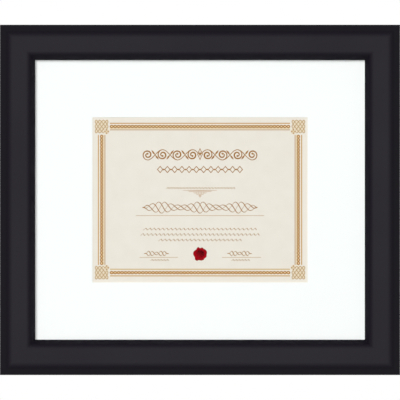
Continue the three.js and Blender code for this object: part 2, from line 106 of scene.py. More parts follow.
# Studio.
CAMERA_DISTANCE = 12.0
VIEW_WIDTH = 507.68 * MM  # what the picture spans at half the frame's depth
VIEW_DROP = 0.13 * MM  # how far the picture's middle lies below the frame's
SENSOR = 36.0
CLIP_END = 100.0
FLOOR_DROP = 0.9  # from the frame's lower edge to the floor
FLOOR_RADIUS = 4.0
FLOOR_FADE = 2.0  # how far out the floor begins to fade
FLOOR_SEGMENTS = 96
ROOM_LEVEL = 0.11  # light that the room scatters onto the frame
SIDE_LEVEL = 0.55  # how bright the room is to the sides, as gloss shows it
BACKDROP_SPAN = (0.45, 1.0)  # where it turns white behind, as a direction's rearward share
GLOW_LEVEL = 2.1  # how much brighter it is straight in front
GLOW_TIGHTNESS = 5.4

# Lamps: the place from the sheet's middle, the size, and the share of full light.
LAMPS = {
    "key": ((-3.0, -10.0, 2.55), 4.4, 0.54),
    "fill": ((0.0, -3.0, 0.0), 1.2, 0.41),
    "back": ((1.5, 5.0, 5.0), 3.0, 0.75),  # for the frame's back and the floor
}

# Sheet and its print, in millimetres from the sheet's middle.
SHEET_LOW, SHEET_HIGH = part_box("certificate")
MIDDLE = (SHEET_LOW + SHEET_HIGH) / 2
HALF_WIDTH = (SHEET_HIGH.x - SHEET_LOW.x) / 2 / MM
HALF_HEIGHT = (SHEET_HIGH.z - SHEET_LOW.z) / 2 / MM
TINT_RISE = 0.005 * MM  # pale tints below the ink
INK_RISE = 0.05 * MM
MARGIN_RISE = 0.1 * MM  # bare margins of flowers that lie over the ink
FLOWER_RISE = 0.15 * MM
HEART_RISE = 0.2 * MM
INK_SINK = 0.02 * MM  # how far a mark reaches into the sheet
INK_LAYER = 0.008 * MM  # between one mark and the next
INK_LAYERS = 4
INK_CROSSING = 0.02 * MM  # between strokes that cross
OVER = Vector((0.8, 0.6))  # strokes in this direction lie over those that cross them
CORNER_LIMIT = 0.5  # cosine of half a stroke's turn, below which its corner stays blunt
DISC_STEPS = 14
LEAF_STEPS = 6

# Border: insets are from the sheet's edge.
SIDES = ("top", "foot", "left", "right")
BANDED_SIDES = ("top", "left", "right")
FOOT_RISE = 0.8  # how much further in the lower side lies
LINE_INSET = 10.7
LINE_WIDTH = 1.3
BRAID_INSET = 14.8
BRAID_PERIOD = 8.8
BRAID_REACH = 1.42
BRAID_STRAND = 1.42
BRAID_TINT = 2.9
BRAID_STEPS = 16
PALE_BAND_INSET = 17.6
TAN_BAND_INSET = 19.05
BAND_WIDTH = 1.4
FOOT_LINE_INSET = 19.1  # in place of the bands on the lower side
FOOT_LINE_WIDTH = 1.5
BLOCK_HALF = 8.6
BLOCK_GAP = 2.0  # between a corner block and the border's sides
BLOCK_STRAND = 1.0
BLOCK_WEAVE = (3, 4)  # how often the strand goes across and up
BLOCK_CREST = 0.97  # how sharply the strand turns at the block's edge
BLOCK_STEPS = 300
FLOWER_OFFSET = 6.3  # across and up from the block's middle
FLOWER_PETALS = 4
FLOWER_REACH = (0.8, 3.3)  # where a petal begins and ends
FLOWER_PETAL = 2.6
FLOWER_HEART = 1.3
FLOWER_MARGIN = 3.7  # radius of the bare paper round it

# Scroll frieze near the sheet's top, with a lozenge in its middle, and a chain below it.
FRIEZE_Z = 57.2
FRIEZE_RISE = 6.5
FRIEZE_PITCH = 19.0
FRIEZE_SCROLLS = 4  # to either side
FRIEZE_STEM = 0.9
FRIEZE_LEAF = (4.6, 6.0)  # how far a leaf reaches across and up
FRIEZE_LEAF_WIDTH = 2.0
SCROLL_TURNS = 1.5
SCROLL_SHRINK = 0.78
SCROLL_SWELL = 0.8  # how much thicker a scroll is than the stem where it is thickest
SCROLL_EYE = 1.2
SCROLL_STEPS = 48
LOZENGE_RISE = 1.0  # above the frieze's middle line
LOZENGE_RIM = (3.0, 7.0)
LOZENGE_HEART = (1.2, 3.2)
LOZENGE_STROKE = 0.9
CHAIN_Z = 38.6
CHAIN_PITCH = 9.2
CHAIN_LINKS = 12
CHAIN_LINK = (3.4, 4.0)
CHAIN_STROKE = 0.85
CHAIN_BEAD = 1.0

# Lines of small waves: (middle, z, length, height of the waves).
LOW_WAVE = 1.7
HIGH_WAVE = 2.3
WAVE_LINES = [
    (0.7, 14.2, 87.5, LOW_WAVE),
    (-51.4, -77.2, 23, LOW_WAVE),
    (51.4, -77.2, 23, LOW_WAVE),
    (0, -38.2, 144, HIGH_WAVE),
    (0, -45.1, 151, HIGH_WAVE),
    (0, -52.1, 105.5, HIGH_WAVE),
]
WAVE_LENGTH = 2.3  # of its height
WAVE_PEN = (0.3, 0.85)
WAVE_STEPS = 10
WAVE_LEAN = 0.3

# Ribbons of crossing strands, tallest at their peaks, and the rules below them: (middle, z, length).
LONG_RIBBON = {"waves": 6, "strands": 3, "low": 5.6, "high": 14.4, "peaks": (24, 73, 122), "spread": 13}
LONG_RIBBON_PLACE = (-73.0, -9.6)
LONG_RIBBON_LENGTH = 146.0
SHORT_RIBBON = {"waves": 3, "strands": 2, "low": 3.0, "high": 7.0, "peaks": (7, 24), "spread": 5}
SHORT_RIBBON_PLACES = [(-71.0, -68.0), (34.5, -68.0)]
SHORT_RIBBON_LENGTH = 31.5
RIBBON_PEN = (0.4, 1.0)
RIBBON_TAPER = 7.0
RIBBON_STEPS = 36
RULES = [(0, -19.9, 162.6), (-52.4, -72.9, 48.5), (52.6, -72.9, 49.3)]
RULE_WIDTH = 0.55

# Drop of lace above the long ribbon.
LACE_PLACE = (0.0, 12.0)
LACE_ROWS = (9, 5, 3, 1)  # scallops in each row
LACE_RADIUS = 1.6
LACE_STEP = 1.8  # from row to row
LACE_STROKE = 0.75
LACE_RING = 1.2
LACE_ARM = 21.6
LACE_ARM_WIDTHS = [1.3, 0.5]
LACE_STEPS = 10

# Seal: heights are shares of its full height, and edges are shares of the way out from its middle.
SEAL_RINGS = 24
STAMP_EDGE = (0.5, 0.68)  # from the stamped floor up to the rim
RIM_ROUND = 0.7  # where the rim begins to roll down to the sheet
RIM_RISE = 0.9
RIM_LUMP = 0.18  # how much the rim's height varies
LUMP_SCALE = 1.6  # higher makes more lumps
LUMP_SLICE = 0.2  # height at which the lumps' noise is cut
FLOOR_RISE = 0.25
FLOOR_TILT = 0.45
FLOOR_TILT_TOWARDS = math.radians(55)  # the stamp went deepest at the upper right
PETALS = 8
PETAL_RISE = 0.3
PETAL_FULLNESS = 0.6  # below 1 the petals are broad and the grooves narrow
PETAL_TURN = math.radians(7.5)  # where the first petal points
BOSS_RISE = 0.22  # in the flower's middle
BOSS_EDGE = 0.15
UNSHADED_EDGE = (0.62, 0.8)  # from the rim's crest out, where the painted shade stops and the wax keeps its full red
PAINTED_SHADE_RISE = (0.12, 0.74)  # heights over which the painted shade of the low wax gives way to the full red
WAX_MOTTLE = 0.18


def srgb(red, green, blue):
    """A colour from screen values of 0 to 255, as the linear values that shaders take."""
    screen = [value / 255 for value in (red, green, blue)]
    linear = [v / 12.92 if v <= 0.04045 else ((v + 0.055) / 1.055) ** 2.4 for v in screen]
    return (*linear, 1.0)


class Graph:
    """A node tree, with short names for the nodes that the materials here are made of."""

    def __init__(self, tree):
        self.tree = tree

    def node(self, kind, inputs=None, **settings):
        """Adds a node. Its inputs are given by name or number."""
        made = self.tree.nodes.new("ShaderNode" + kind)
        for name, value in settings.items():
            setattr(made, name, value)
        for name, value in (inputs or {}).items():
            self.feed(made.inputs[name], value)
        return made

    def feed(self, socket, value):
        """Links an output to a socket, or sets the socket to a plain value."""
        if isinstance(value, bpy.types.NodeSocket):
            self.tree.links.new(value, socket)
        else:
            socket.default_value = value

    def surface(self, shader):
        """Makes a shader node the material's surface."""
        self.feed(self.tree.nodes["Material Output"].inputs["Surface"], shader.outputs[0])

    def place(self, stretch=(1, 1, 1)):
        """Where a point lies on its piece, in metres times stretch."""
        point = self.node("TexCoord").outputs["Object"]
        return self.node("Mapping", {"Vector": point, "Scale": stretch}).outputs["Vector"]

    def noise(self, scale, detail=3.0, stretch=(1, 1, 1), distortion=0.0):
        inputs = {"Vector": self.place(stretch), "Scale": scale, "Detail": detail, "Distortion": distortion}
        return self.node("TexNoise", inputs).outputs["Fac"]

    def span(self, value, low, high, to_low=0.0, to_high=1.0):
        """value from low to high, mapped to the second range and held at its ends."""
        inputs = {"Value": value, "From Min": low, "From Max": high, "To Min": to_low, "To Max": to_high}
        return self.node("MapRange", inputs).outputs["Result"]

    def vary(self, pattern, to_low=0.0, to_high=1.0):
        """A noise pattern, mapped to a range."""
        return self.span(pattern, *NOISE_RANGE, to_low, to_high)

    def pick(self, flag, without, given):
        """The value given where flag is 1, and the other one where it is 0."""
        return self.span(flag, 0.0, 1.0, without, given)

    def math(self, operation, first, second=0.0):
        return self.node("Math", {0: first, 1: second}, operation=operation).outputs[0]

    def distance(self, across, up):
        """How far a point lies from a middle, from how far it lies across and up."""
        squares = [self.math("POWER", offset, 2.0) for offset in (across, up)]
        return self.math("SQRT", self.math("ADD", *squares))

    def blend(self, share, first, second):
        """The first colour where share is 0 and the second where it is 1."""
        mix = self.node("Mix", {0: share, 6: first, 7: second}, data_type="RGBA")
        return mix.outputs[2]

    def split(self, vector):
        return self.node("SeparateXYZ", {"Vector": vector}).outputs

    def bump(self, height, depth):
        """A bumped normal, where height from 0 to 1 rises by depth metres."""
        return self.node("Bump", {"Height": height, "Distance": depth}).outputs["Normal"]


def new_material(name):
    """A material, its graph and its main shader."""
    material = bpy.data.materials.new(name)
    material.use_nodes = True
    graph = Graph(material.node_tree)
    return material, graph, material.node_tree.nodes["Principled BSDF"]


def finish_shader(graph, shader, **inputs):
    """Sets the shader's inputs, given by name with _ for a space."""
    for name, value in inputs.items():
        graph.feed(shader.inputs[name.replace("_", " ")], value)


def along(axis, squeeze):
    """Stretch that draws a pattern out along one axis."""
    return tuple(squeeze if name == axis else 1.0 for name in "xyz")


def black_lacquer(axis):
    """Satin black lacquer, through which the wood's pores show faintly along the rail."""
    material, graph, shader = new_material("black_lacquer_" + axis)
    pores = graph.span(graph.noise(scale=1700, detail=4, stretch=along(axis, 0.025)), 0.45, 0.72)
    cloud = graph.noise(scale=9, detail=2)
    finish_shader(
        graph,
        shader,
        Base_Color=graph.blend(pores, (0.0024, 0.0013, 0.0045, 1), (0.0018, 0.0010, 0.0034, 1)),
        Roughness=graph.vary(cloud, 0.38, 0.43),
        Specular_IOR_Level=0.17,
        Normal=graph.bump(graph.math("SUBTRACT", 1.0, pores), depth=0.012 * MM),
    )
    return material


def edge_distance(graph):
    """How far a point lies inside the frame's outer edge, seen from the front."""
    low, high = cad_box
    x, _, z = graph.split(graph.place())
    middle = (low.z + high.z) / 2
    from_side = graph.math("SUBTRACT", high.x, graph.math("ABSOLUTE", x))
    from_middle = graph.math("ABSOLUTE", graph.math("SUBTRACT", z, middle))
    from_end = graph.math("SUBTRACT", (high.z - low.z) / 2, from_middle)
    return graph.math("MINIMUM", from_side, from_end)


def bare_wood(axis):
    """Unfinished pale wood of the moulding's back, with overspray along the outer edge."""
    material, graph, shader = new_material("bare_wood_" + axis)
    rings = graph.noise(scale=160, detail=2, stretch=along(axis, 0.035), distortion=0.6)
    fibre = graph.noise(scale=2600, detail=4, stretch=along(axis, 0.02))
    wood = graph.blend(graph.span(rings, 0.35, 0.65), srgb(205, 172, 128), srgb(183, 142, 97))
    wood = graph.blend(graph.span(fibre, 0.55, 0.8, to_high=0.45), wood, srgb(150, 110, 72))
    ragged = graph.vary(graph.noise(scale=1900, detail=4), -OVERSPRAY_RAGGED, OVERSPRAY_RAGGED)
    from_edge = graph.math("ADD", edge_distance(graph), ragged)
    spray = graph.span(from_edge, *OVERSPRAY, to_low=1.0, to_high=0.0)
    finish_shader(
        graph,
        shader,
        Base_Color=graph.blend(spray, wood, srgb(30, 28, 31)),
        Roughness=graph.vary(fibre, 0.62, 0.78),
        Normal=graph.bump(fibre, depth=0.08 * MM),
    )
    return material


def mat_paper():
    """Smooth white board with a faint tooth."""
    material, graph, shader = new_material("mat_paper")
    tooth = graph.noise(scale=2200)
    finish_shader(
        graph,
        shader,
        Base_Color=graph.blend(tooth, (0.945, 0.957, 0.951, 1), (0.962, 0.972, 0.967, 1)),
        Roughness=graph.vary(tooth, 0.82, 0.9),
        Specular_IOR_Level=0.1,
        Normal=graph.bump(tooth, depth=0.012 * MM),
    )
    return material


def cream_paper():
    """Heavy cream stock with soft mottling and fine fibres."""
    material, graph, shader = new_material("cream_paper")
    mottle = graph.noise(scale=60, detail=4)
    fibre = graph.noise(scale=1800, detail=4, stretch=along("z", 0.45))
    stock = graph.blend(graph.vary(mottle), srgb(235, 229, 219), srgb(233, 226, 215))
    finish_shader(
        graph,
        shader,
        Base_Color=graph.blend(graph.span(fibre, 0.6, 0.9, to_high=0.3), stock, srgb(226, 219, 203)),
        Roughness=graph.vary(fibre, 0.78, 0.88),
        Specular_IOR_Level=0.1,
        Normal=graph.bump(fibre, depth=0.012 * MM),
    )
    return material


def ink(name, colour, worn):
    """Printing ink that soaks unevenly into the sheet."""
    material, graph, shader = new_material(name)
    soak = graph.noise(scale=1300, detail=4)
    finish_shader(
        graph,
        shader,
        Base_Color=graph.blend(graph.span(soak, 0.35, 0.75), colour, worn),
        Roughness=graph.vary(soak, 0.7, 0.8),
        Specular_IOR_Level=0.04,
    )
    return material


def red_wax():
    """Deep red sealing wax, satin where it was squeezed out, with shade painted into its colour: near black
    where the wax lies low in the stamp's hollow.
    """
    material, graph, shader = new_material("red_wax")
    low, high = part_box("wax_seal")
    middle = (low + high) / 2
    radius = (high.x - low.x) / 2
    x, y, z = graph.split(graph.place())
    out = graph.distance(graph.math("SUBTRACT", x, middle.x), graph.math("SUBTRACT", z, middle.z))
    edge = graph.span(out, *(share * radius for share in UNSHADED_EDGE))
    swirl = graph.noise(scale=420, distortion=1.2)
    skin = graph.noise(scale=2600)
    mottle = graph.vary(swirl, -WAX_MOTTLE, WAX_MOTTLE)
    rise = graph.math("ADD", graph.span(y, high.y, low.y), mottle)
    # painted shade: low wax darkens towards near black, while the rim's outer edge keeps its red
    out_of_painted_shade = graph.span(graph.math("MAXIMUM", rise, edge), *PAINTED_SHADE_RISE)
    rim = graph.blend(graph.span(swirl, 0.35, 0.7), srgb(174, 8, 26), srgb(122, 3, 12))
    finish_shader(
        graph,
        shader,
        # srgb(30, 0, 3) is painted shade, not a darker wax
        Base_Color=graph.blend(out_of_painted_shade, srgb(30, 0, 3), rim),
        Roughness=graph.vary(skin, 0.3, 0.4),
        Specular_IOR_Level=0.07,
        Normal=graph.bump(skin, depth=0.02 * MM),
    )
    return material


def clear_glass():
    """Coated picture glass: clear from the front, with a mirror that grows towards a glancing look."""
    material, graph, shader = new_material("clear_glass")
    graph.tree.nodes.remove(shader)
    glance = graph.node("LayerWeight").outputs["Facing"]
    mirror = graph.math("MULTIPLY", graph.math("POWER", glance, GLASS_MIRROR_POWER), GLASS_MIRROR)
    clear = graph.node("BsdfTransparent", {"Color": GLASS_TINT}).outputs[0]
    shine = graph.node("BsdfGlossy", {"Roughness": GLASS_ROUGHNESS}).outputs[0]
    graph.surface(graph.node("MixShader", {0: mirror, 1: clear, 2: shine}))
    return material


def board(name, colour, fleck, scale, stretch=(1, 1, 1)):
    """Pressed board or card, with flecks of fibre."""
    material, graph, shader = new_material(name)
    cloud = graph.noise(scale=45)
    fibre = graph.noise(scale, detail=4, stretch=stretch)
    base = graph.blend(graph.vary(cloud, to_high=0.25), colour, fleck)
    finish_shader(
        graph,
        shader,
        Base_Color=graph.blend(graph.span(fibre, 0.52, 0.78), base, fleck),
        Roughness=graph.vary(fibre, 0.5, 0.68),
        Specular_IOR_Level=0.35,
        Normal=graph.bump(fibre, depth=0.03 * MM),
    )
    return material


def metal(name, colour, stain, smooth, rough, grain):
    """Plated or drawn metal with a cloudy sheen and fine scratches."""
    material, graph, shader = new_material(name)
    cloud = graph.noise(scale=600, distortion=0.8)
    scratch = graph.noise(grain, stretch=along("z", 0.06))
    finish_shader(
        graph,
        shader,
        Base_Color=graph.blend(graph.span(cloud, 0.4, 0.75), colour, stain),
        Metallic=1.0,
        Roughness=graph.vary(cloud, smooth, rough),
        Normal=graph.bump(scratch, depth=0.006 * MM),
    )
    return material


def grey_rubber():
    """Soft moulded bumper with a matt skin."""
    material, graph, shader = new_material("grey_rubber")
    skin = graph.noise(scale=3000)
    dust = graph.noise(scale=220)
    finish_shader(
        graph,
        shader,
        Base_Color=graph.blend(graph.span(dust, 0.4, 0.75), srgb(74, 75, 77), srgb(92, 92, 92)),
        Roughness=graph.vary(skin, 0.6, 0.74),
        Specular_IOR_Level=0.35,
        Normal=graph.bump(skin, depth=0.03 * MM),
    )
    return material


def linen_tape():
    """Gummed linen: threads over and under each other."""
    material, graph, shader = new_material("linen_tape")
    x, _, z = graph.split(graph.place((LINEN_THREADS, 1, LINEN_THREADS)))
    weave = graph.math("MULTIPLY", graph.math("SINE", x), graph.math("SINE", z))
    finish_shader(
        graph,
        shader,
        Base_Color=graph.blend(graph.span(weave, -1, 1), srgb(214, 208, 190), srgb(238, 234, 222)),
        Roughness=0.9,
        Normal=graph.bump(weave, depth=0.04 * MM),
    )
    return material


def pale_floor():
    """Pale matt floor that fades out, and that isn't seen from below."""
    material, graph, shader = new_material("pale_floor")
    x, y, _ = graph.split(graph.place())
    fade = graph.span(graph.distance(x, y), FLOOR_FADE, FLOOR_RADIUS)
    below = graph.node("NewGeometry").outputs["Backfacing"]
    finish_shader(graph, shader, Base_Color=(0.9, 0.9, 0.9, 1), Roughness=0.9, Specular_IOR_Level=0.1)
    clear = graph.node("BsdfTransparent").outputs[0]
    hidden = graph.math("MAXIMUM", fade, below)
    graph.surface(graph.node("MixShader", {0: hidden, 1: shader.outputs[0], 2: clear}))
    return material


# Materials that several pieces share.
LACQUER = {axis: black_lacquer(axis) for axis in "xz"}
WOOD = {axis: bare_wood(axis) for axis in "xz"}
GOLD_INK = ink("gold_ink", srgb(170, 121, 58), srgb(180, 133, 70))
PEACH_INK = ink("peach_ink", srgb(246, 222, 184), srgb(245, 224, 190))
TAN_INK = ink("tan_ink", srgb(184, 147, 98), srgb(194, 159, 114))
HONEY_INK = ink("honey_ink", srgb(198, 154, 90), srgb(206, 166, 108))
STRAW_INK = ink("straw_ink", srgb(208, 180, 132), srgb(213, 188, 146))
SAND_INK = ink("sand_ink", srgb(190, 158, 114), srgb(198, 168, 128))
BEIGE_INK = ink("beige_ink", srgb(230, 215, 190), srgb(231, 218, 196))
FAINT_INK = ink("faint_ink", srgb(203, 176, 152), srgb(208, 186, 165))
PALE_INK = ink("pale_ink", srgb(224, 204, 168), srgb(227, 211, 180))
CREAM_INK = ink("cream_ink", srgb(235, 222, 202), srgb(236, 225, 208))
BROWN_INK = ink("brown_ink", srgb(152, 102, 34), srgb(164, 115, 48))
SEPIA_INK = ink("sepia_ink", srgb(162, 118, 58), srgb(172, 132, 76))


def welded(node):
    """The node's solid as a bmesh, with its triangles joined into flat faces again."""
    mesh = frame["nodes"][node].data
    bm = bmesh.new()
    corners = [bm.verts.new(vertex.co) for vertex in mesh.vertices]
    for face in mesh.polygons:
        bm.faces.new([corners[i] for i in face.vertices])
    bmesh.ops.remove_doubles(bm, verts=bm.verts, dist=WELD)
    bmesh.ops.dissolve_limit(bm, angle_limit=FLAT, verts=bm.verts, edges=bm.edges)
    return bm


def add_piece(bm, name, materials, crisp=True):
    """Makes a smooth-shaded object of a bmesh. Its sharp edges stay crisp unless a bevel rounds them."""
    for face in bm.faces:
        face.smooth = True
    if crisp:
        for edge in bm.edges:
            edge.smooth = len(edge.link_faces) == 2 and edge.calc_face_angle() < SHARP
    mesh = bpy.data.meshes.new(name)
    bm.to_mesh(mesh)
    bm.free()
    for material in materials:
        mesh.materials.append(material)
    piece = bpy.data.objects.new(name, mesh)
    bpy.context.scene.collection.objects.link(piece)
    return piece


def soften(piece, width):
    """Rounds the piece's edges and keeps its flat faces flat in the light."""
    bevel = piece.modifiers.new("round edges", "BEVEL")
    bevel.width = width
    bevel.segments = ROUND_STEPS
    bevel.limit_method = "ANGLE"
    bevel.angle_limit = SHARP
    even_light(piece)


def even_light(piece):
    """Shades each face by the larger faces round it, so that flat ones look flat."""
    normals = piece.modifiers.new("even light", "WEIGHTED_NORMAL")
    normals.keep_sharp = True


def stand_in(piece, node):
    """The piece stands for the node, which it hides, and moves with its body."""
    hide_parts(node)
    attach(piece, BODY_OF[node])


def on_sheet(piece):
    """The piece is printed on the sheet."""
    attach(piece, BODY_OF["certificate"])


def paint(node, material):
    """Gives a node's own solid a finish."""
    materials = frame["nodes"][node].data.materials
    materials.clear()
    materials.append(material)


def rounded_copy(node, material, width):
    """The node's solid again, with its edges rounded as the made thing's are."""
    piece = add_piece(welded(node), node + "_finish", [material], crisp=False)
    soften(piece, width)
    stand_in(piece, node)


def looks_towards(face, direction, least=FACING):
    """Whether a face looks in a direction."""
    return face.normal.dot(direction) > least


def is_mitre(face):
    """Whether a rail's face is one of its slanted ends."""
    x, y, z = (abs(part) for part in face.normal)
    return abs(x - z) < MITRE_SLACK and y < MITRE_SLACK


def is_bare(face, inward):
    """Whether a rail's face is unpainted: its back and the rabbet behind the lip."""
    behind_lip = face.calc_center_median().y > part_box("glazing")[0].y
    return behind_lip and (looks_towards(face, BACKWARD) or looks_towards(face, inward))


def back_edges(bm, inward):
    """The edges between the moulding's back and its outer side."""

    def borders(edge, direction):
        return any(looks_towards(face, direction, SQUARE_ON) for face in edge.link_faces)

    return [edge for edge in bm.edges if borders(edge, BACKWARD) and borders(edge, -inward)]


def close_mitres(bm, node, axis):
    """Lengthens a rail by its glue lines, so that its mitres meet its neighbours'."""
    across = "xyz".index(axis)
    low, high = (corner[across] for corner in cad_box)
    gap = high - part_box(node)[1][across]
    for vertex in {corner for face in bm.faces if is_mitre(face) for corner in face.verts}:
        vertex.co[across] += math.copysign(gap, vertex.co[across] - (low + high) / 2)


def rail(node, axis, inward):
    """One length of moulding: lacquered on the front and sides, bare behind."""
    bm = welded(node)
    close_mitres(bm, node, axis)
    bmesh.ops.bevel(
        bm,
        geom=back_edges(bm, inward),
        offset=RAIL_ROUND,
        segments=ROUND_STEPS,
        profile=ROUND_PROFILE,
        affect="EDGES",
    )
    bm.normal_update()
    for face in bm.faces:
        face.material_index = 1 if is_bare(face, inward) else 0
    piece = add_piece(bm, node + "_finish", [LACQUER[axis], WOOD[axis]])
    even_light(piece)
    stand_in(piece, node)


class Print:
    """Printed marks on the sheet's face, as thin closed strips and shapes. Points are (x, z) in millimetres
    from the sheet's middle."""

    def __init__(self, rise=INK_RISE):
        self.bm = bmesh.new()
        self.rise = rise
        self.marks = 0

    def next_rise(self):
        """How far the next mark stands out of the sheet: no two neighbours lie in one plane."""
        self.marks += 1
        return self.rise + INK_LAYER * (self.marks % INK_LAYERS)

    def vertex(self, point, y):
        return self.bm.verts.new((MIDDLE.x + point[0] * MM, y, MIDDLE.z + point[1] * MM))

    def pair(self, point, rise):
        """The front and back vertex of a point of an outline."""
        return self.vertex(point, SHEET_LOW.y - rise), self.vertex(point, SHEET_LOW.y + INK_SINK)

    def fill(self, outline):
        """A flat shape inside an outline."""
        rise = self.next_rise()
        pairs = [self.pair(point, rise) for point in outline]
        self.bm.faces.new([front for front, _ in pairs])
        self.bm.faces.new([back for _, back in reversed(pairs)])
        for (front, back), (next_front, next_back) in zip(pairs, pairs[1:] + pairs[:1]):
            self.bm.faces.new((front, back, next_back, next_front))

    def stroke(self, points, width, closed=False):
        """A strip along points. width is one number, or one for each point."""
        points = [Vector(point) for point in points]
        widths = width if isinstance(width, list) else [width] * len(points)
        flat_rise = self.next_rise()
        rungs = []
        for i, point in enumerate(points):
            side = side_of(points, i, closed)
            heading = Vector((side.y, -side.x)).normalized()
            rise = flat_rise + INK_CROSSING * (0.5 + 0.5 * heading.dot(OVER))
            side *= widths[i] / 2
            rungs.append((self.pair(point + side, rise), self.pair(point - side, rise)))
        spans = list(zip(rungs, rungs[1:]))
        if closed:
            spans.append((rungs[-1], rungs[0]))
        for (left, right), (next_left, next_right) in spans:
            self.bm.faces.new((left[0], right[0], next_right[0], next_left[0]))
            self.bm.faces.new((left[1], next_left[1], next_right[1], right[1]))
            self.bm.faces.new((left[0], next_left[0], next_left[1], left[1]))
            self.bm.faces.new((right[0], right[1], next_right[1], next_right[0]))
        if not closed:
            for left, right in (rungs[0], rungs[-1]):
                self.bm.faces.new((left[0], left[1], right[1], right[0]))

    def piece(self, name, material):
        """Ends the drawing and puts it on the sheet."""
        bmesh.ops.recalc_face_normals(self.bm, faces=self.bm.faces)
        on_sheet(add_piece(self.bm, name, [material]))


def side_of(points, i, closed):
    """The direction to the left of a line at its point i, lengthened where the line turns a corner."""
    count = len(points)
    before = points[i] - points[i - 1] if closed or i > 0 else points[1] - points[0]
    after = points[(i + 1) % count] - points[i] if closed or i < count - 1 else before
    before = before.normalized()
    after = after.normalized()
    mean = (before + after).normalized()
    reach = 1 / max(mean.dot(before), CORNER_LIMIT)
    return Vector((-mean.y, mean.x)) * reach


def arc_points(centre, radius, start, turn, steps):
    """Points on an arc; angles are in turns, anticlockwise from the right."""
    angles = [math.tau * (start + turn * i / steps) for i in range(steps + 1)]
    return [(centre[0] + radius * math.cos(a), centre[1] + radius * math.sin(a)) for a in angles]


def disc(centre, radius):
    return arc_points(centre, radius, start=0, turn=1, steps=DISC_STEPS)[:-1]


def lozenge(centre, half_width, half_height):
    x, z = centre
    return [(x + half_width, z), (x, z + half_height), (x - half_width, z), (x, z - half_height)]


def square(centre, half):
    x, z = centre
    return [(x + half, z + half), (x - half, z + half), (x - half, z - half), (x + half, z - half)]


def leaf(base, tip, width):
    """The outline of a pointed leaf, widest in its middle."""
    base = Vector(base)
    stem = Vector(tip) - base
    side = Vector((-stem.y, stem.x)).normalized() * width / 2
    shares = [i / LEAF_STEPS for i in range(LEAF_STEPS + 1)]
    left = [base + stem * share + side * math.sin(math.pi * share) for share in shares]
    right = [base + stem * share - side * math.sin(math.pi * share) for share in shares[1:-1]]
    return left + right[::-1]


def border_sides(inset):
    """The border's runs between the corner blocks by side, as (start, direction, length, inward)."""
    x = HALF_WIDTH - inset
    z = HALF_HEIGHT - inset
    clear = BRAID_INSET + BLOCK_HALF + BLOCK_GAP
    across = HALF_WIDTH - clear
    up = HALF_HEIGHT - clear
    return {
        "top": (Vector((-across, z)), Vector((1, 0)), 2 * across, Vector((0, -1))),
        "foot": (Vector((across, FOOT_RISE - z)), Vector((-1, 0)), 2 * across, Vector((0, 1))),
        "right": (Vector((x, up)), Vector((0, -1)), 2 * up, Vector((-1, 0))),
        "left": (Vector((-x, -up)), Vector((0, 1)), 2 * up, Vector((1, 0))),
    }


def print_strip(name, material, inset, width, rise=INK_RISE, sides=SIDES):
    """A plain strip along some of the border's sides."""
    drawing = Print(rise)
    runs = border_sides(inset)
    for side in sides:
        start, direction, length, _ = runs[side]
        drawing.stroke([start, start + direction * length], width)
    drawing.piece(name, material)


def print_braid():
    """Two strands that wave past each other along each side."""
    drawing = Print()
    for start, direction, length, inward in border_sides(BRAID_INSET).values():
        waves = round(length / BRAID_PERIOD)
        steps = waves * BRAID_STEPS
        for phase in (0, math.pi):
            points = []
            for i in range(steps + 1):
                swing = BRAID_REACH * math.sin(math.tau * i / BRAID_STEPS + phase)
                points.append(start + direction * (length * i / steps) + inward * swing)
            drawing.stroke(points, BRAID_STRAND)
    drawing.piece("print_braid", GOLD_INK)


def print_border():
    """A braid between an outer line and two inner bands, with a line for the bands on the lower side."""
    print_strip("print_braid_tint", PEACH_INK, BRAID_INSET, BRAID_TINT, TINT_RISE)
    print_strip("print_line", HONEY_INK, LINE_INSET, LINE_WIDTH)
    print_strip("print_pale_band", PALE_INK, PALE_BAND_INSET, BAND_WIDTH, sides=BANDED_SIDES)
    print_strip("print_tan_band", FAINT_INK, TAN_BAND_INSET, BAND_WIDTH, sides=BANDED_SIDES)
    print_strip("print_foot_line", STRAW_INK, FOOT_LINE_INSET, FOOT_LINE_WIDTH, sides=["foot"])
    print_braid()


def zigzag(turn):
    """A wave of straight slopes and rounded crests, from -1 to 1."""
    return math.asin(BLOCK_CREST * math.sin(turn)) / math.asin(BLOCK_CREST)


def corner_weave(drawing, x, z):
    """One strand that weaves to and fro through a square."""
    reach = BLOCK_HALF - BLOCK_STRAND / 2
    across, up = BLOCK_WEAVE
    points = []
    for i in range(BLOCK_STEPS):
        turn = math.tau * i / BLOCK_STEPS
        points.append((x + reach * zigzag(across * turn), z + reach * zigzag(up * turn)))
    drawing.stroke(points, BLOCK_STRAND, closed=True)


def flower_petals(centre):
    """The outlines of a small flower's petals, as a cross."""
    petals = []
    for i in range(FLOWER_PETALS):
        turn = math.tau * i / FLOWER_PETALS
        outward = Vector((math.cos(turn), math.sin(turn)))
        base, tip = [Vector(centre) + outward * reach for reach in FLOWER_REACH]
        petals.append(leaf(base, tip, FLOWER_PETAL))
    return petals


def print_corners():
    """Woven squares, each with a flower on the corner towards the sheet's middle."""
    tint = Print(TINT_RISE)
    weave = Print()
    margins = Print(MARGIN_RISE)
    petals = Print(FLOWER_RISE)
    hearts = Print(HEART_RISE)
    for side in (-1, 1):
        for end in (-1, 1):
            x = side * (HALF_WIDTH - BRAID_INSET)
            z = end * (HALF_HEIGHT - BRAID_INSET) + (FOOT_RISE if end < 0 else 0)
            tint.fill(square((x, z), BLOCK_HALF - BLOCK_STRAND))
            corner_weave(weave, x, z)
            flower = (x - side * FLOWER_OFFSET, z - end * FLOWER_OFFSET)
            margins.fill(disc(flower, FLOWER_MARGIN))
            hearts.fill(disc(flower, FLOWER_HEART))
            for outline in flower_petals(flower):
                petals.fill(outline)
    tint.piece("print_corner_tint", BEIGE_INK)
    weave.piece("print_corner_weave", SAND_INK)
    margins.piece("print_flower_margins", CREAM_INK)
    petals.piece("print_flowers", TAN_INK)
    hearts.piece("print_flower_hearts", PALE_INK)


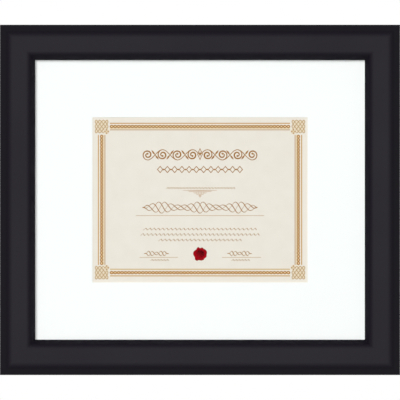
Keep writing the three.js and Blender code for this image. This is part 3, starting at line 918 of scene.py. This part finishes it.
def frieze_stem():
    """The frieze's wave to the right of its middle, up to its last scroll."""
    steps = SCROLL_STEPS * FRIEZE_SCROLLS
    length = FRIEZE_PITCH * (FRIEZE_SCROLLS - 0.5)
    places = [length * i / steps for i in range(steps + 1)]
    return [(x, FRIEZE_RISE * math.sin(math.pi * x / FRIEZE_PITCH)) for x in places]


def frieze_scroll(number):
    """A scroll that goes on from the wave's crest or trough and curls inward, and its widths."""
    x = FRIEZE_PITCH * (number + 0.5)
    up = 1 if number % 2 == 0 else -1
    points = []
    widths = []
    for i in range(SCROLL_STEPS + 1):
        share = i / SCROLL_STEPS
        turn = math.tau * (0.25 - SCROLL_TURNS * share)
        radius = FRIEZE_RISE * (1 - SCROLL_SHRINK * share)
        points.append((x + radius * math.cos(turn), up * radius * math.sin(turn)))
        widths.append(FRIEZE_STEM + SCROLL_SWELL * math.sin(math.pi * share))
    return points, widths


def frieze_leaves():
    """Pairs of leaves where the wave crosses its middle line."""
    across, up = FRIEZE_LEAF
    leaves = []
    for i in range(1, FRIEZE_SCROLLS):
        x = FRIEZE_PITCH * i
        rise = up if i % 2 == 1 else -up
        leaves.append(leaf((x, 0), (x + across, rise), FRIEZE_LEAF_WIDTH))
        leaves.append(leaf((x, 0), (x - across, -rise), FRIEZE_LEAF_WIDTH))
    return leaves


def on_side(points, side):
    """Points of the frieze's right half, or their mirror image on the left, at the frieze's place."""
    return [(side * x, z + FRIEZE_Z) for x, z in points]


def draw_chain(drawing):
    """A row of lozenges with beads between them."""
    first = -CHAIN_PITCH * (CHAIN_LINKS - 1) / 2
    for i in range(CHAIN_LINKS):
        x = first + CHAIN_PITCH * i
        drawing.stroke(lozenge((x, CHAIN_Z), *CHAIN_LINK), CHAIN_STROKE, closed=True)
        if i > 0:
            drawing.fill(disc((x - CHAIN_PITCH / 2, CHAIN_Z), CHAIN_BEAD))


def print_frieze():
    """A running scroll to either side of a lozenge, over a chain."""
    drawing = Print()
    for side in (-1, 1):
        drawing.stroke(on_side(frieze_stem(), side), FRIEZE_STEM)
        for number in range(FRIEZE_SCROLLS):
            points, widths = frieze_scroll(number)
            drawing.stroke(on_side(points, side), widths)
            drawing.fill(on_side(disc(points[-1], SCROLL_EYE), side))
        for outline in frieze_leaves():
            drawing.fill(on_side(outline, side))
    middle = (0, FRIEZE_Z + LOZENGE_RISE)
    drawing.stroke(lozenge(middle, *LOZENGE_RIM), LOZENGE_STROKE, closed=True)
    drawing.fill(lozenge(middle, *LOZENGE_HEART))
    draw_chain(drawing)
    drawing.piece("print_frieze", BROWN_INK)


def pen_width(pen, turn):
    """A pen's width on a wave, which is thickest where it moves down."""
    thin, thick = pen
    return thin + (thick - thin) * (0.5 - 0.5 * math.sin(turn))


def wave_line(drawing, middle, z, length, height):
    """A line of even, leaning waves."""
    waves = round(length / (WAVE_LENGTH * height))
    steps = waves * WAVE_STEPS
    points = []
    widths = []
    for i in range(steps + 1):
        turn = math.tau * i / WAVE_STEPS
        rise = height * (0.5 - 0.5 * math.cos(turn))
        points.append((middle + length * (i / steps - 0.5) + WAVE_LEAN * rise, z + rise))
        widths.append(pen_width(WAVE_PEN, turn))
    drawing.stroke(points, widths)


def print_lines():
    """The lines of small waves."""
    drawing = Print()
    for line in WAVE_LINES:
        wave_line(drawing, *line)
    drawing.piece("print_small_lines", SEPIA_INK)


def smooth_step(value, low, high):
    """0 up to low, 1 from high on, and a smooth rise between them."""
    share = min(max((value - low) / (high - low), 0.0), 1.0)
    return share * share * (3 - 2 * share)


def ribbon_height(forward, length, low, high, peaks, spread):
    """How tall a ribbon is at a place along it: tallest at its peaks, and tapered to both ends."""
    swell = sum(math.exp(-(((forward - peak) / spread) ** 2)) for peak in peaks)
    ends = smooth_step(min(forward, length - forward), 0.0, RIBBON_TAPER)
    return (low + (high - low) * swell) * ends


def pen_ribbon(drawing, place, length, waves, strands, **shape):
    """Fine strands that wave and cross each other inside a swelling ribbon."""
    steps = waves * RIBBON_STEPS
    for strand in range(strands):
        points = []
        widths = []
        for i in range(steps + 1):
            turn = math.tau * (i / RIBBON_STEPS + strand / strands)
            forward = length * i / steps
            height = ribbon_height(forward, length, **shape)
            points.append((place[0] + forward, place[1] - height / 2 * math.cos(turn)))
            widths.append(pen_width(RIBBON_PEN, turn))
        drawing.stroke(points, widths)


def print_ribbons():
    """One long ribbon, two short ones, and a rule below each."""
    long_ribbon = Print()
    pen_ribbon(long_ribbon, LONG_RIBBON_PLACE, LONG_RIBBON_LENGTH, **LONG_RIBBON)
    long_ribbon.piece("print_long_ribbon", BROWN_INK)
    short_ribbons = Print()
    for place in SHORT_RIBBON_PLACES:
        pen_ribbon(short_ribbons, place, SHORT_RIBBON_LENGTH, **SHORT_RIBBON)
    short_ribbons.piece("print_short_ribbons", SEPIA_INK)
    rules = Print(TINT_RISE)
    for middle, z, length in RULES:
        rules.stroke([(middle - length / 2, z), (middle + length / 2, z)], RULE_WIDTH)
    rules.piece("print_rules", TAN_INK)


def print_lace():
    """A small drop of lace: rows of scallops below a tapering bar, down to a ring."""
    drawing = Print()
    x, z = LACE_PLACE
    for side in (-1, 1):
        drawing.stroke([(x, z), (x + side * LACE_ARM, z)], LACE_ARM_WIDTHS)
    for row, scallops in enumerate(LACE_ROWS):
        for i in range(scallops):
            centre = (x + (2 * i - scallops + 1) * LACE_RADIUS, z - row * LACE_STEP)
            lower_half = arc_points(centre, LACE_RADIUS, start=0.5, turn=0.5, steps=LACE_STEPS)
            drawing.stroke(lower_half, LACE_STROKE)
    ring = (x, z - len(LACE_ROWS) * LACE_STEP)
    drawing.stroke(disc(ring, LACE_RING), LACE_STROKE, closed=True)
    drawing.piece("print_lace", FAINT_INK)


def seal_rise(share, angle):
    """How high the wax stands at a share of the way out, as a share of its full height."""
    lump = noise.noise(LUMP_SCALE * Vector((math.cos(angle), math.sin(angle), LUMP_SLICE)))
    rim = min(1.0, RIM_RISE + RIM_LUMP * lump)
    if share > RIM_ROUND:
        roll = (share - RIM_ROUND) / (1 - RIM_ROUND)
        return rim * (1 - roll * roll)
    tilt = FLOOR_TILT * share * math.cos(angle - FLOOR_TILT_TOWARDS)
    petal = abs(math.cos(PETALS / 2 * (angle - PETAL_TURN))) ** PETAL_FULLNESS
    swell = math.sin(math.pi * min(share / STAMP_EDGE[1], 1.0))
    boss = BOSS_RISE * max(0.0, 1 - (share / BOSS_EDGE) ** 2)
    floor = FLOOR_RISE - tilt + max(PETAL_RISE * petal * swell, boss)
    return floor + (rim - floor) * smooth_step(share, *STAMP_EDGE)


def seal_outline():
    """The points round the wax's foot in order, and their middle."""
    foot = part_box("wax_seal")[1].y
    solid = welded("wax_seal")
    outline = [vertex.co.copy() for vertex in solid.verts if vertex.co.y > foot - WELD]
    solid.free()
    middle = sum(outline, Vector()) / len(outline)
    outline.sort(key=lambda point: math.atan2(point.z - middle.z, point.x - middle.x))
    return outline, middle


def wax_seal():
    """Wax squeezed out round a stamp: a lobed rim, and a tilted floor with a plain flower."""
    low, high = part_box("wax_seal")
    outline, middle = seal_outline()
    bm = bmesh.new()

    def wax_vertex(offset, share):
        rise = seal_rise(share, math.atan2(offset.z, offset.x)) * (high.y - low.y)
        return bm.verts.new((middle.x + offset.x * share, high.y - rise, middle.z + offset.z * share))

    loops = []
    for i in range(1, SEAL_RINGS + 1):
        share = math.sin(math.pi / 2 * i / SEAL_RINGS)
        loops.append([wax_vertex(point - middle, share) for point in outline])
    tip = wax_vertex(Vector((1, 0, 0)), 0.0)
    count = len(outline)
    for i in range(count):
        bm.faces.new((tip, loops[0][i], loops[0][(i + 1) % count]))
        for inner, outer in zip(loops, loops[1:]):
            bm.faces.new((inner[i], outer[i], outer[(i + 1) % count], inner[(i + 1) % count]))
    bm.faces.new(loops[-1])
    bmesh.ops.recalc_face_normals(bm, faces=bm.faces)
    piece = add_piece(bm, "wax_seal_finish", [red_wax()])
    stand_in(piece, "wax_seal")


def finish_layers():
    """The pane, the mat, the sheet and what lies behind them."""
    paint("glazing", clear_glass())
    paint("mat_board", mat_paper())
    paint("certificate", cream_paper())
    tape = linen_tape()
    for end in ("left", "right"):
        paint("hinge_tape_" + end, tape)
    mount_card = board("mount_card", srgb(232, 228, 216), srgb(216, 208, 190), scale=900)
    paint("mount_board", mount_card)
    flutes = along("z", 0.1)
    filler = board("corrugated_card", srgb(176, 138, 96), srgb(150, 112, 74), scale=700, stretch=flutes)
    paint("filler_board", filler)
    hardboard = board("hardboard", srgb(124, 86, 58), srgb(92, 60, 38), scale=1100)
    rounded_copy("back_panel", hardboard, PANEL_ROUND)


def finish_hardware():
    """Plated buttons, screws and hanger, bright nails and soft bumpers."""
    zinc_colours = (0.62, 0.64, 0.66, 1), (0.5, 0.52, 0.55, 1)
    steel_colours = (0.66, 0.66, 0.67, 1), (0.52, 0.52, 0.54, 1)
    zinc = metal("zinc_plate", *zinc_colours, smooth=0.3, rough=0.42, grain=1500)
    steel = metal("bright_steel", *steel_colours, smooth=0.2, rough=0.32, grain=2400)
    rubber = grey_rubber()
    for node in frame["nodes"]:
        if node.startswith("v_nail"):
            paint(node, steel)
        elif node.startswith("turn_button") or node == "hanger":
            rounded_copy(node, zinc, PLATE_ROUND)
        elif node.startswith("button_screw"):
            rounded_copy(node, zinc, SCREW_ROUND)
        elif node.startswith("hanger_nail"):
            rounded_copy(node, steel, NAIL_ROUND)
        elif node.startswith("bumper"):
            rounded_copy(node, rubber, BUMPER_ROUND)


def place_floor():
    """A round floor below the frame. It throws no light on the frame, and gloss doesn't show it."""
    bm = bmesh.new()
    bmesh.ops.create_circle(bm, cap_ends=True, radius=FLOOR_RADIUS, segments=FLOOR_SEGMENTS)
    floor = add_piece(bm, "floor", [pale_floor()])
    floor.location.z = cad_box[0].z - FLOOR_DROP
    floor.visible_glossy = False
    floor.visible_diffuse = False


def place_world():
    """A white room round the frame. Gloss shows it white behind, greyer to the sides and glowing in front,
    and it scatters little light."""
    world = bpy.data.worlds.new("studio")
    bpy.context.scene.world = world
    world.use_nodes = True
    graph = Graph(world.node_tree)
    rearward = graph.split(graph.node("TexCoord").outputs["Generated"])[1]
    off_axis = graph.math("ADD", rearward, 1.0)
    glow = graph.math("EXPONENT", graph.math("MULTIPLY", off_axis, -GLOW_TIGHTNESS))
    walls = graph.span(rearward, *BACKDROP_SPAN, SIDE_LEVEL, 1.0)
    gloss = graph.math("ADD", walls, graph.math("MULTIPLY", glow, GLOW_LEVEL))
    path = graph.node("LightPath").outputs
    lit = graph.pick(path["Is Glossy Ray"], ROOM_LEVEL, gloss)
    seen = graph.math("MAXIMUM", path["Is Camera Ray"], path["Is Transmission Ray"])
    background = world.node_tree.nodes["Background"]
    graph.feed(background.inputs["Color"], (1, 1, 1, 1))
    graph.feed(background.inputs["Strength"], graph.pick(seen, lit, 1.0))


def place_lamp(name, offset, size, level):
    """A square soft box that gives the frame's front or back, whichever it stands before, the share level
    of full light. Gloss shows the room instead of it."""
    light = bpy.data.lights.new(name, "AREA")
    light.shape = "SQUARE"
    light.size = size
    offset = Vector(offset)
    slant = abs(offset.y) / offset.length
    light.energy = level * math.pi**2 * offset.length_squared / slant
    lamp = bpy.data.objects.new(name, light)
    bpy.context.scene.collection.objects.link(lamp)
    lamp.location = MIDDLE + offset
    lamp.rotation_euler = (-offset).to_track_quat("-Z", "Y").to_euler()
    lamp.visible_camera = False
    lamp.visible_glossy = False


def place_camera():
    """A long lens straight in front, so that the frame's sides show as little as in the picture."""
    low, high = cad_box
    half_depth_y = low.y + (high.y - low.y) / 2
    data = bpy.data.cameras.new("camera")
    data.sensor_width = SENSOR
    data.clip_end = CLIP_END
    data.lens = SENSOR * CAMERA_DISTANCE / VIEW_WIDTH
    camera = bpy.data.objects.new("camera", data)
    camera.location = (0, half_depth_y - CAMERA_DISTANCE, (low.z + high.z) / 2 - VIEW_DROP)
    camera.rotation_euler = (math.pi / 2, 0, 0)
    bpy.context.scene.collection.objects.link(camera)
    bpy.context.scene.camera = camera


for node, (axis, inward) in RAILS.items():
    rail(node, axis, inward)
print_border()
print_corners()
print_frieze()
print_lines()
print_ribbons()
print_lace()
wax_seal()
finish_layers()
finish_hardware()

place_floor()
place_world()
for name, lamp in LAMPS.items():
    place_lamp(name, *lamp)
place_camera()
bpy.context.scene.view_settings.view_transform = "Standard"
